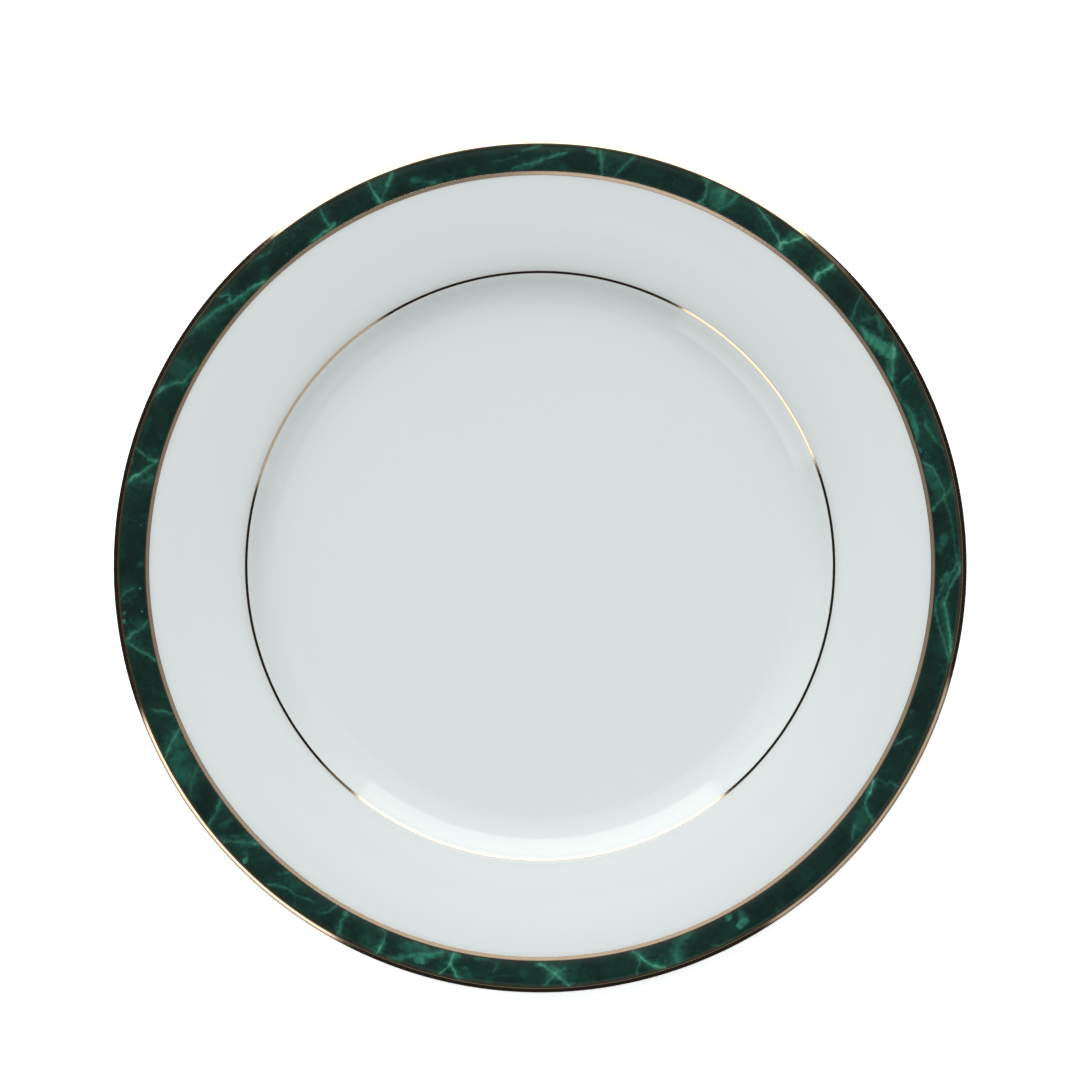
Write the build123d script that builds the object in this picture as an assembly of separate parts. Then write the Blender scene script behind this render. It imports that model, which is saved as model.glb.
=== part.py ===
from build123d import *
import math
import os

# A banded china dinner plate, revolved about +Z. Millimetres.
# Origin: centre of the foot ring, on the plane the plate rests on.
#
# The fired body is covered by a thin glaze everywhere but on the wiped foot.
# The glaze carries a printed marble band between two gilded bands, and a fine
# gilded line sits on the verge, where the well meets the rim. Print and gilding
# are bedded a little into the glaze, as they are once fired.

# ---------------------------------------------------------------- dimensions
PLATE_R = 135.0          # outer radius over the glaze
GLAZE_T = 0.30           # fired glaze thickness
SEAT = 0.14              # the print and the gilding sink this far into the glaze
PRINT_T = 0.04           # the transfer print stands this far proud of the glaze
GOLD_T = 0.06            # the gilding stands this far proud of the glaze

WELL_Z = 7.5             # height of the flat well above the table
WELL_R = 79.6            # radius of the flat well
CAVETTO_LOW_R = 20.55    # concave curve from the well, slow part
CAVETTO_MID_DEG = 22.0
CAVETTO_HIGH_R = 15.35   # concave curve up to the wall, tighter part
WALL_DEG = 38.0          # steepest slope of the well's wall
VERGE_START_R = 91.55    # where the wall turns over to the rim
VERGE_R = 12.66          # convex curve of the verge
RIM_IN_DEG = 16.5        # rim slope just outside the verge
RIM_IN_R = 124.5
RIM_MID_DEG = 13.5
RIM_MID_R = 218.7
RIM_OUT_DEG = 7.5        # rim slope at the border line
LIP_START_R = 132.2      # where the rim is level and starts to roll over
LIP_ROLL_R = 4.4         # slow part of the roll
LIP_ROLL_DEG = 30.0
LIP_NOSE_R = 1.2         # tight part of the roll, over the nose
LIP_UNDER_R = 0.9        # underside of the lip
NOSE_STEPS_DEG = (-50.0, -70.0, -90.0)      # the two tight curves are built from
UNDER_STEPS_DEG = (-111.0, -132.0, -153.0) # short arcs that share one centre each

BACK_OUT_DEG = 4.5       # slope of the back just inside the lip
BACK_IN_DEG = 15.5       # slope of the back under the verge
BACK_CURVE_R = 191.7
BACK_WALL_DEG = 41.0     # slope of the back behind the wall
BACK_HOLLOW_R = 11.6
BACK_WALL_LEN = 0.8
BACK_BULGE_R = 17.2
BACK_BULGE_DEG = 14.0    # slope of the back where it reaches the foot
BACK_FLAT_LEN = 3.1
FOOT_FILLET_R = 1.6
FOOT_OUT_DEG = 83.0      # foot walls, from the table
FOOT_CORNER_R = 0.8
FOOT_LAND = 1.6          # width of the flat land the plate rests on
FOOT_IN_DEG = 82.0
RECESS_Z = 3.3           # underside of the base, inside the foot ring
RECESS_FILLET_R = 2.2
GLAZE_LINE_Z = 0.95      # the glaze is wiped off below this height

VERGE_LINE_R = (93.10, 93.92)
BORDER_LINE_R = (123.65, 124.90)
MARBLE_R = (124.90, 133.52)
RIM_GOLD_UNDER_R = 134.05   # the rim gilding ends here, under the lip


# ------------------------------------------------------- the section's contour
# The glazed contour is a chain of tangent lines and arcs, walked from the axis
# over the face, round the lip and back under the foot to the axis. The outside
# is always on the left, so an offset to the left grows the part.
class Seg:
    def __init__(self, kind, p, head, size, turn=0.0):
        self.kind, self.p, self.head, self.size, self.turn = kind, p, head, size, turn

    def centre(self):
        side = 1.0 if self.turn > 0 else -1.0
        a = math.radians(self.head)
        return (self.p[0] - side * self.size * math.sin(a), self.p[1] + side * self.size * math.cos(a))

    def at(self, t):
        a = math.radians(self.head)
        if self.kind == "line":
            return (self.p[0] + t * self.size * math.cos(a), self.p[1] + t * self.size * math.sin(a))
        side = 1.0 if self.turn > 0 else -1.0
        c = self.centre()
        b = math.radians(self.head + t * self.turn)
        return (c[0] + side * self.size * math.sin(b), c[1] - side * self.size * math.cos(b))

    def end(self):
        return self.at(1.0)

    def end_head(self):
        return self.head + (self.turn if self.kind == "arc" else 0.0)

    def shifted(self, d):
        a = math.radians(self.head)
        p = (self.p[0] - d * math.sin(a), self.p[1] + d * math.cos(a))
        if self.kind == "line":
            return Seg("line", p, self.head, self.size)
        side = 1.0 if self.turn > 0 else -1.0
        return Seg("arc", p, self.head, self.size - side * d, self.turn)

    def part(self, t0, t1):
        p = self.at(t0)
        if self.kind == "line":
            return Seg("line", p, self.head, self.size * (t1 - t0))
        return Seg("arc", p, self.head + t0 * self.turn, self.size, self.turn * (t1 - t0))

    def edge(self):
        a, b = self.p, self.end()
        if self.kind == "line":
            return Line((a[0], 0, a[1]), (b[0], 0, b[1]))
        m = self.at(0.5)
        return ThreePointArc((a[0], 0, a[1]), (m[0], 0, m[1]), (b[0], 0, b[1]))


class Chain:
    def __init__(self, p):
        self.p, self.head, self.segs, self.marks = p, 0.0, [], {}

    def mark(self, name):
        self.marks[name] = len(self.segs)

    def line(self, length):
        self.segs.append(Seg("line", self.p, self.head, length))
        self.p = self.segs[-1].end()

    def line_to_r(self, r):
        self.line((r - self.p[0]) / math.cos(math.radians(self.head)))

    def line_to_z(self, z):
        self.line((z - self.p[1]) / math.sin(math.radians(self.head)))

    def arc(self, radius, head):
        self.segs.append(Seg("arc", self.p, self.head, radius, head - self.head))
        self.p, self.head = self.segs[-1].end(), head


def glazed_contour():
    c = Chain((0.0, WELL_Z))
    c.line_to_r(WELL_R)
    c.arc(CAVETTO_LOW_R, CAVETTO_MID_DEG)
    c.arc(CAVETTO_HIGH_R, WALL_DEG)
    c.line_to_r(VERGE_START_R)
    c.arc(VERGE_R, RIM_IN_DEG)
    c.arc(RIM_IN_R, RIM_MID_DEG)
    c.arc(RIM_MID_R, RIM_OUT_DEG)
    c.arc((LIP_START_R - c.p[0]) / math.sin(math.radians(RIM_OUT_DEG)), 0.0)
    c.arc(LIP_ROLL_R, -LIP_ROLL_DEG)
    for head in NOSE_STEPS_DEG:
        c.arc(LIP_NOSE_R, head)
    c.mark("lip")
    for head in UNDER_STEPS_DEG:
        c.arc(LIP_UNDER_R, head)
    c.arc(LIP_UNDER_R, -180.0 + BACK_OUT_DEG)
    c.arc(BACK_CURVE_R, -180.0 + BACK_IN_DEG)
    c.arc(BACK_HOLLOW_R, -180.0 + BACK_WALL_DEG)
    c.line(BACK_WALL_LEN)
    c.arc(BACK_BULGE_R, -180.0 + BACK_BULGE_DEG)
    c.line(BACK_FLAT_LEN)
    c.arc(FOOT_FILLET_R, -180.0 + FOOT_OUT_DEG)
    corner = FOOT_CORNER_R + GLAZE_T
    c.mark("foot_out")
    c.line_to_z(-GLAZE_T + corner * (1 - math.cos(math.radians(FOOT_OUT_DEG))))
    c.arc(corner, -180.0)
    c.line(FOOT_LAND)
    c.arc(corner, -180.0 - FOOT_IN_DEG)
    c.mark("foot_in")
    c.line_to_z(RECESS_Z - RECESS_FILLET_R * (1 - math.cos(math.radians(FOOT_IN_DEG))))
    c.arc(RECESS_FILLET_R, -180.0)
    c.line(c.p[0])
    return c.segs, c.marks


OUTER, MARKS = glazed_contour()
assert abs(max(s.end()[0] for s in OUTER) - PLATE_R) < 1e-6


def find(low, high, axis, value):
    """(segment index, t) where the contour crosses a radius (axis 0) or a height (axis 1), between two segments."""
    for i in range(low, high):
        s = OUTER[i]
        a, b = s.p[axis], s.end()[axis]
        if min(a, b) - 1e-9 <= value <= max(a, b) + 1e-9 and abs(a - b) > 1e-9:
            t0, t1 = 0.0, 1.0
            rising = b > a
            for _ in range(80):
                t = (t0 + t1) / 2
                if (s.at(t)[axis] < value) == rising:
                    t0 = t
                else:
                    t1 = t
            return i, (t0 + t1) / 2
    raise ValueError((axis, value))


FACE, BACK = (0, MARKS["lip"]), (MARKS["lip"], MARKS["foot_out"])
CUTS = {
    "start": (0, 0.0),
    "verge_in": find(*FACE, 0, VERGE_LINE_R[0]),
    "verge_out": find(*FACE, 0, VERGE_LINE_R[1]),
    "border_in": find(*FACE, 0, BORDER_LINE_R[0]),
    "border_out": find(*FACE, 0, BORDER_LINE_R[1]),
    "print_out": find(*FACE, 0, MARBLE_R[1]),
    "gold_under": find(*BACK, 0, RIM_GOLD_UNDER_R),
    "glaze_foot_out": find(MARKS["foot_out"], MARKS["foot_out"] + 1, 1, GLAZE_LINE_Z),
    "glaze_foot_in": find(MARKS["foot_in"], MARKS["foot_in"] + 1, 1, GLAZE_LINE_Z),
    "end": (len(OUTER) - 1, 1.0),
}
ORDER = sorted(CUTS, key=lambda k: CUTS[k])


def pieces(a, b):
    """The contour from cut a to cut b as segments, broken at every cut between them, so that neighbours share whole faces."""
    stops = [CUTS[k] for k in ORDER if CUTS[a] <= CUTS[k] <= CUTS[b]]
    out = []
    for (i0, t0), (i1, t1) in zip(stops, stops[1:]):
        for i in range(i0, i1 + 1):
            lo = t0 if i == i0 else 0.0
            hi = t1 if i == i1 else 1.0
            if hi - lo > 1e-9:
                out.append(OUTER[i].part(lo, hi))
    return out


def joined(inner, outer):
    """A closed section between two walks of the same stretch of contour, revolved to a ring or a disc."""
    edges = [s.edge() for s in inner] + [s.edge() for s in outer]
    for a, b in ((inner[0].p, outer[0].p), (inner[-1].end(), outer[-1].end())):
        if math.dist(a, b) > 1e-7:
            edges.append(Line((a[0], 0, a[1]), (b[0], 0, b[1])))
    face = make_face(edges)
    return revolve(face, axis=Axis.Z, revolution_arc=360, clean=False)


def layer(a, b, low, high):
    base = pieces(a, b)
    return joined([s.shifted(low) for s in base], [s.shifted(high) for s in base])


def glaze_coat():
    """The glaze over face, rim and back, with a shallow seat under the print and each gilded band."""
    under = [s.shifted(-GLAZE_T) for s in pieces("start", "glaze_foot_out")]
    edges = [s.edge() for s in under]
    steps = [("start", "verge_in", 0.0), ("verge_in", "verge_out", -SEAT), ("verge_out", "border_in", 0.0),
             ("border_in", "gold_under", -SEAT), ("gold_under", "glaze_foot_out", 0.0)]
    last = under[0].p
    for a, b, depth in steps:
        segs = [s.shifted(depth) for s in pieces(a, b)]
        edges.append(Line((last[0], 0, last[1]), (segs[0].p[0], 0, segs[0].p[1])))
        edges += [s.edge() for s in segs]
        last = segs[-1].end()
    end = under[-1].end()
    edges.append(Line((last[0], 0, last[1]), (end[0], 0, end[1])))
    return revolve(make_face(edges), axis=Axis.Z, revolution_arc=360, clean=False)


def body():
    skin = [s.shifted(-GLAZE_T) for s in pieces("start", "end")]
    edges = [s.edge() for s in skin]
    a, b = skin[0].p, skin[-1].end()
    edges.append(Line((b[0], 0, b[1]), (a[0], 0, a[1])))
    return revolve(make_face(edges), axis=Axis.Z, revolution_arc=360, clean=False)


PARTS = {
    "porcelain_body": body(),
    "glaze_coat": glaze_coat(),
    "base_glaze": layer("glaze_foot_in", "end", -GLAZE_T, 0.0),
    "marble_band": layer("border_out", "print_out", -SEAT, PRINT_T),
    "rim_gold": layer("print_out", "gold_under", -SEAT, GOLD_T),
    "border_gold_line": layer("border_in", "border_out", -SEAT, GOLD_T),
    "verge_gold_line": layer("verge_in", "verge_out", -SEAT, GOLD_T),
}

os.makedirs("parts", exist_ok=True)
for name, shape in PARTS.items():
    shape.label = name
    export_step(shape, f"parts/{name}.step")
    box = shape.bounding_box()
    print(name, "volume", round(shape.volume, 1), "z", round(box.min.Z, 3), round(box.max.Z, 3), "r", round(box.max.X, 3))
for s in OUTER:
    print(s.kind, "from (%.3f, %.3f) heading %.1f to (%.3f, %.3f)" % (*s.p, s.head, *s.end()))
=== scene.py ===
import math
import bpy
import numpy as np
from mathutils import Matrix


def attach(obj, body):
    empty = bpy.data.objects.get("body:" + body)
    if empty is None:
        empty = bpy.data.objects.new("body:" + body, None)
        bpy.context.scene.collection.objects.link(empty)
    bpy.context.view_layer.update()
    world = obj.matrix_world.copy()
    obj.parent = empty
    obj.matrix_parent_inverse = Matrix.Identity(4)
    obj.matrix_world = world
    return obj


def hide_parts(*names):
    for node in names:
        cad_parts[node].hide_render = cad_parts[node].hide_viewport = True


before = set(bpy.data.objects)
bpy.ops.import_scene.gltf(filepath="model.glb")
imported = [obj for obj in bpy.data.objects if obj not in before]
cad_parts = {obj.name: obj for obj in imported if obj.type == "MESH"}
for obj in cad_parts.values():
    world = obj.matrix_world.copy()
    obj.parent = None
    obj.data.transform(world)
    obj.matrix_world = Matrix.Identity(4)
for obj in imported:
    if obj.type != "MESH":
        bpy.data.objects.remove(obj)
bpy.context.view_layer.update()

# =========================================================== the plate's section
# Millimetres here, metres in the meshes. The section is walked from the axis
# over the face, round the lip, back under the foot and in to the axis, with the
# outside of the plate on the left.

GLAZE_T = 0.30


class Seg:
    def __init__(self, kind, p, head, size, turn=0.0):
        self.kind, self.p, self.head, self.size, self.turn = kind, p, head, size, turn

    def at(self, t):
        a = math.radians(self.head)
        if self.kind == "line":
            return (self.p[0] + t * self.size * math.cos(a), self.p[1] + t * self.size * math.sin(a))
        side = 1.0 if self.turn > 0 else -1.0
        c = (self.p[0] - side * self.size * math.sin(a), self.p[1] + side * self.size * math.cos(a))
        b = math.radians(self.head + t * self.turn)
        return (c[0] + side * self.size * math.sin(b), c[1] - side * self.size * math.cos(b))

    def heading(self, t):
        return self.head + (t * self.turn if self.kind == "arc" else 0.0)

    def length(self):
        return self.size if self.kind == "line" else self.size * abs(math.radians(self.turn))


class Chain:
    def __init__(self, p):
        self.p, self.head, self.segs = p, 0.0, []

    def line(self, length):
        self.segs.append(Seg("line", self.p, self.head, length))
        self.p = self.segs[-1].at(1.0)

    def line_to_r(self, r):
        self.line((r - self.p[0]) / math.cos(math.radians(self.head)))

    def line_to_z(self, z):
        self.line((z - self.p[1]) / math.sin(math.radians(self.head)))

    def arc(self, radius, head):
        self.segs.append(Seg("arc", self.p, self.head, radius, head - self.head))
        self.p, self.head = self.segs[-1].at(1.0), head


c = Chain((0.0, 7.5))
c.line_to_r(79.6)
c.arc(20.55, 22.0)
c.arc(15.35, 38.0)
c.line_to_r(91.55)
c.arc(12.66, 16.5)
c.arc(124.5, 13.5)
c.arc(218.7, 7.5)
c.arc((132.2 - c.p[0]) / math.sin(math.radians(7.5)), 0.0)
c.arc(4.4, -30.0)
c.arc(1.2, -90.0)
LIP = len(c.segs)
c.arc(0.9, -175.5)
c.arc(191.7, -164.5)
c.arc(11.6, -139.0)
c.line(0.8)
c.arc(17.2, -166.0)
c.line(3.1)
c.arc(1.6, -97.0)
FOOT_OUT = len(c.segs)
CORNER = 0.8 + GLAZE_T
c.line_to_z(-GLAZE_T + CORNER * (1 - math.cos(math.radians(83.0))))
c.arc(CORNER, -180.0)
c.line(1.6)
c.arc(CORNER, -262.0)
FOOT_IN = len(c.segs)
c.line_to_z(3.3 - 2.2 * (1 - math.cos(math.radians(82.0))))
c.arc(2.2, -180.0)
c.line(c.p[0])
SEGS = c.segs


def find(low, high, axis, value):
    for i in range(low, high):
        s = SEGS[i]
        a, b = s.at(0.0)[axis], s.at(1.0)[axis]
        if min(a, b) - 1e-9 <= value <= max(a, b) + 1e-9 and abs(a - b) > 1e-9:
            t0, t1 = 0.0, 1.0
            for _ in range(60):
                t = (t0 + t1) / 2
                if (s.at(t)[axis] < value) == (b > a):
                    t0 = t
                else:
                    t1 = t
            return i, (t0 + t1) / 2
    raise ValueError((axis, value))


START, END = (0, 0.0), (len(SEGS) - 1, 1.0)
VERGE_IN, VERGE_OUT = find(0, LIP, 0, 93.10), find(0, LIP, 0, 93.92)
BORDER_IN, BORDER_OUT = find(0, LIP, 0, 123.65), find(0, LIP, 0, 124.90)
PRINT_OUT = find(0, LIP, 0, 133.52)
GOLD_UNDER = find(LIP, FOOT_OUT, 0, 134.05)
GLAZE_OUT = find(FOOT_OUT, FOOT_OUT + 1, 1, 0.95)
GLAZE_IN = find(FOOT_IN, FOOT_IN + 1, 1, 0.95)


def walk(a, b, step=0.6, turn=2.0):
    """The contour from a to b as a list of (r, z, normal r, normal z, distance walked), fine where it curves."""
    out, run = [], 0.0
    for i in range(a[0], b[0] + 1):
        s = SEGS[i]
        lo = a[1] if i == a[0] else 0.0
        hi = b[1] if i == b[0] else 1.0
        if hi - lo < 1e-9:
            continue
        n = max(1, math.ceil(s.length() * (hi - lo) / step)) if s.kind == "arc" else max(1, math.ceil(s.length() * (hi - lo) / 12.0))
        if s.kind == "arc":
            n = max(n, math.ceil(abs(s.turn) * (hi - lo) / turn))
        for k in range(n + 1):
            if out and k == 0:
                continue
            t = lo + (hi - lo) * k / n
            h = math.radians(s.heading(t))
            r, z = s.at(t)
            out.append((r, z, -math.sin(h), math.cos(h), run + s.length() * (t - lo)))
        run = out[-1][4]
    return out


def shifted(points, d):
    return [(r + d * nr, z + d * nz) for r, z, nr, nz, _ in points]


# ================================================================= mesh helpers
def lathe(name, profile, n, warp=None, closed=False):
    """Revolves a profile of (r, z) in millimetres. Ends on the axis become one vertex. A closed profile makes a ring."""
    ang = np.linspace(0.0, 2 * math.pi, n, endpoint=False)
    sin, cos = np.sin(ang), np.cos(ang)
    verts, rows, count = [], [], 0
    for k, (r, z) in enumerate(profile):
        if abs(r) < 1e-7:
            verts.append(np.array([[0.0, 0.0, z]]))
            rows.append(("axis", count))
            count += 1
        else:
            rr, zz = np.full(n, float(r)), np.full(n, float(z))
            if warp is not None:
                rr, zz = warp(ang, rr, zz)
            verts.append(np.stack([rr * sin, rr * cos, zz], 1))
            rows.append(("ring", count))
            count += n
    co = np.concatenate(verts) * 0.001
    i = np.arange(n)
    j = (i + 1) % n
    faces = []
    pairs = list(zip(rows, rows[1:])) + ([(rows[-1], rows[0])] if closed else [])
    for (ka, a), (kb, b) in pairs:
        if ka == "ring" and kb == "ring":
            faces.append(np.stack([a + i, a + j, b + j, b + i], 1))
        elif ka == "axis":
            faces.append(np.stack([np.full(n, a), b + j, b + i, np.full(n, -1)], 1))
        else:
            faces.append(np.stack([a + i, a + j, np.full(n, b), np.full(n, -1)], 1))
    quads = np.concatenate(faces)
    tri = co[quads[:, :3]]
    volume = np.einsum("ij,ij->i", tri[:, 0], np.cross(tri[:, 1], tri[:, 2])).sum()
    has4 = quads[:, 3] >= 0
    other = co[quads[has4][:, [0, 2, 3]]]
    volume += np.einsum("ij,ij->i", other[:, 0], np.cross(other[:, 1], other[:, 2])).sum()
    if volume < 0:
        quads[has4] = quads[has4][:, ::-1]
        quads[~has4, :3] = quads[~has4][:, [2, 1, 0]]
    sizes = (quads >= 0).sum(1)
    flat = quads[quads >= 0]
    me = bpy.data.meshes.new(name)
    me.vertices.add(len(co))
    me.vertices.foreach_set("co", co.ravel())
    me.loops.add(len(flat))
    me.loops.foreach_set("vertex_index", flat.astype(np.int32))
    me.polygons.add(len(sizes))
    me.polygons.foreach_set("loop_start", np.concatenate([[0], np.cumsum(sizes)[:-1]]).astype(np.int32))
    me.update(calc_edges=True)
    me.validate()
    me.shade_smooth()
    ob = bpy.data.objects.new(name, me)
    bpy.context.scene.collection.objects.link(ob)
    return ob


def film(name, a, b, height, n, edge, step=0.25, turn=2.5, sunk=0.03):
    """A fired film on the glaze between two places of the contour: it swells up at its edges, and its underside is sunk in the glaze."""
    base = walk(a, b, step, turn)
    total = base[-1][4]
    top = []
    ends = [edge * f for f in (0.0, 0.08, 0.25, 0.5, 0.75)]
    marks = sorted(set([round(p[4], 6) for p in base] + [round(e, 6) for e in ends] + [round(total - e, 6) for e in ends]))
    dist = np.array([p[4] for p in base])
    cols = [np.array([p[k] for p in base]) for k in range(4)]
    for d in marks:
        r, z, nr, nz = (float(np.interp(d, dist, col)) for col in cols)
        m = min(d, total - d)
        h = height * (1 - (1 - min(1.0, m / edge)) ** 2)
        top.append((r + h * nr, z + h * nz))
    under = [(p[0] - sunk * p[2], p[1] - sunk * p[3]) for p in base[::-1][:: max(1, len(base) // 6)]]
    if math.dist(under[-1], (base[0][0] - sunk * base[0][2], base[0][1] - sunk * base[0][3])) > 1e-6:
        under.append((base[0][0] - sunk * base[0][2], base[0][1] - sunk * base[0][3]))
    return lathe(name, (top + under)[::-1], n, closed=True)


# ================================================================ material nodes
class Nodes:
    """A small helper to wire up a node tree."""

    def __init__(self, tree):
        self.t = tree
        tree.nodes.clear()

    def new(self, kind, **props):
        n = self.t.nodes.new(kind)
        for k, v in props.items():
            setattr(n, k, v)
        return n

    def set(self, socket, value):
        if hasattr(value, "is_output") or isinstance(value, bpy.types.NodeSocket):
            self.t.links.new(value, socket)
        else:
            socket.default_value = value

    def math(self, op, a, b=None, c=None, clamp=False):
        n = self.new("ShaderNodeMath", operation=op, use_clamp=clamp)
        for i, v in enumerate((a, b, c)):
            if v is not None:
                self.set(n.inputs[i], v)
        return n.outputs[0]

    def ease(self, x, a, b, lo=0.0, hi=1.0):
        n = self.new("ShaderNodeMapRange", interpolation_type="SMOOTHSTEP")
        for i, v in enumerate((x, a, b, lo, hi)):
            self.set(n.inputs[i], v)
        return n.outputs[0]

    def line(self, x, a, b, lo=0.0, hi=1.0):
        n = self.new("ShaderNodeMapRange", interpolation_type="LINEAR")
        for i, v in enumerate((x, a, b, lo, hi)):
            self.set(n.inputs[i], v)
        return n.outputs[0]

    def mix(self, f, a, b):
        n = self.new("ShaderNodeMix", data_type="RGBA")
        self.set(n.inputs[0], f)
        self.set(n.inputs[6], a)
        self.set(n.inputs[7], b)
        return n.outputs[2]

    def noise(self, coord, scale, detail=3.0, rough=0.5, distort=0.0):
        n = self.new("ShaderNodeTexNoise")
        self.set(n.inputs["Vector"], coord)
        self.set(n.inputs["Scale"], scale)
        self.set(n.inputs["Detail"], detail)
        self.set(n.inputs["Roughness"], rough)
        self.set(n.inputs["Distortion"], distort)
        return n.outputs["Fac"]

    def bump(self, height, strength, distance):
        n = self.new("ShaderNodeBump")
        n.inputs["Strength"].default_value = strength
        n.inputs["Distance"].default_value = distance
        self.set(n.inputs["Height"], height)
        return n.outputs[0]


def material(name):
    m = bpy.data.materials.new(name)
    m.use_nodes = True
    n = Nodes(m.node_tree)
    out = n.new("ShaderNodeOutputMaterial")
    p = n.new("ShaderNodeBsdfPrincipled")
    n.t.links.new(p.outputs[0], out.inputs[0])
    coord = n.new("ShaderNodeTexCoord").outputs["Object"]
    return m, n, p, coord


def rgba(r, g, b):
    return (r, g, b, 1.0)


def glaze_material():
    m, n, p, co = material("clear glaze over white china")
    drift = n.noise(co, 9.0, 2.0, 0.5)
    fine = n.noise(co, 240.0, 3.0, 0.55)
    tint = n.mix(drift, rgba(0.760, 0.805, 0.806), rgba(0.775, 0.815, 0.812))
    # the glaze colour is darkened in a thin brownish fringe beside the gold lines, fading within about a millimetre
    at = n.new("ShaderNodeSeparateXYZ")
    n.t.links.new(co, at.inputs[0])
    facing = n.new("ShaderNodeSeparateXYZ")
    n.t.links.new(n.new("ShaderNodeNewGeometry").outputs["True Normal"], facing.inputs[0])
    radius = n.math("SQRT", n.math("ADD", n.math("MULTIPLY", at.outputs[0], at.outputs[0]), n.math("MULTIPLY", at.outputs[1], at.outputs[1])))

    def darken_beside_line(inner, outer, reach, inside, outside):
        before = n.math("MULTIPLY", n.math("EXPONENT", n.math("DIVIDE", n.math("MAXIMUM", n.math("SUBTRACT", inner, radius), 0.0), -reach)), inside)
        after = n.math("MULTIPLY", n.math("EXPONENT", n.math("DIVIDE", n.math("MAXIMUM", n.math("SUBTRACT", radius, outer), 0.0), -reach)), outside)
        return n.math("ADD", n.math("MULTIPLY", before, n.math("LESS_THAN", radius, inner)), n.math("MULTIPLY", after, n.math("GREATER_THAN", radius, outer)))

    both = n.math("ADD", darken_beside_line(0.12365, 0.12490, 0.0010, 0.14, 0.0), darken_beside_line(0.09310, 0.09392, 0.0009, 0.04, 0.17))
    fringe_darkening = n.math("MULTIPLY", both, n.math("GREATER_THAN", facing.outputs[2], 0.0), clamp=True)
    n.set(p.inputs["Base Color"], n.mix(fringe_darkening, tint, rgba(0.12, 0.09, 0.06)))
    n.set(p.inputs["Roughness"], n.line(fine, 0.3, 0.7, 0.050, 0.085))
    n.set(p.inputs["IOR"], 1.52)
    # the outer rim is shaded up to 3.9 degrees flatter than its section; the mesh keeps the section
    lie = n.math("MULTIPLY", n.ease(radius, 0.0955, 0.1065, 0.0, 0.068), n.math("GREATER_THAN", facing.outputs[2], 0.0))
    out = n.new("ShaderNodeCombineXYZ")
    n.t.links.new(at.outputs[0], out.inputs[0])
    n.t.links.new(at.outputs[1], out.inputs[1])
    push = n.new("ShaderNodeVectorMath", operation="SCALE")
    n.t.links.new(out.outputs[0], push.inputs[0])
    n.set(push.inputs["Scale"], n.math("DIVIDE", lie, n.math("MAXIMUM", radius, 0.01)))
    lean = n.new("ShaderNodeVectorMath", operation="ADD")
    n.t.links.new(n.new("ShaderNodeNewGeometry").outputs["Normal"], lean.inputs[0])
    n.t.links.new(push.outputs[0], lean.inputs[1])
    unit = n.new("ShaderNodeVectorMath", operation="NORMALIZE")
    n.t.links.new(lean.outputs[0], unit.inputs[0])
    waver = n.bump(n.noise(co, 70.0, 2.0, 0.5), 0.05, 0.0004)
    n.t.links.new(unit.outputs[0], waver.node.inputs["Normal"])
    n.set(p.inputs["Normal"], waver)
    return m


def bisque_material():
    m, n, p, co = material("unglazed china")
    grain = n.noise(co, 2600.0, 4.0, 0.7)
    patch = n.noise(co, 60.0, 3.0, 0.6)
    clean = n.mix(grain, rgba(0.60, 0.585, 0.55), rgba(0.76, 0.745, 0.71))
    n.set(p.inputs["Base Color"], n.mix(n.ease(patch, 0.52, 0.75, 0.0, 0.45), clean, rgba(0.50, 0.47, 0.43)))
    n.set(p.inputs["Roughness"], n.line(grain, 0.2, 0.8, 0.55, 0.85))
    n.set(p.inputs["IOR"], 1.45)
    n.set(p.inputs["Normal"], n.bump(grain, 0.35, 0.0002))
    return m


def gold_material():
    m, n, p, co = material("fired polished gold")
    drift = n.noise(co, 55.0, 3.0, 0.6)
    fine = n.noise(co, 900.0, 3.0, 0.6)
    n.set(p.inputs["Base Color"], n.mix(drift, rgba(0.83, 0.655, 0.485), rgba(0.89, 0.725, 0.55)))
    n.set(p.inputs["Metallic"], 1.0)
    n.set(p.inputs["Roughness"], n.line(fine, 0.3, 0.7, 0.05, 0.10))
    n.set(p.inputs["Normal"], n.bump(n.math("ADD", n.math("MULTIPLY", fine, 0.3), drift), 0.10, 0.0001))
    return m


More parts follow.
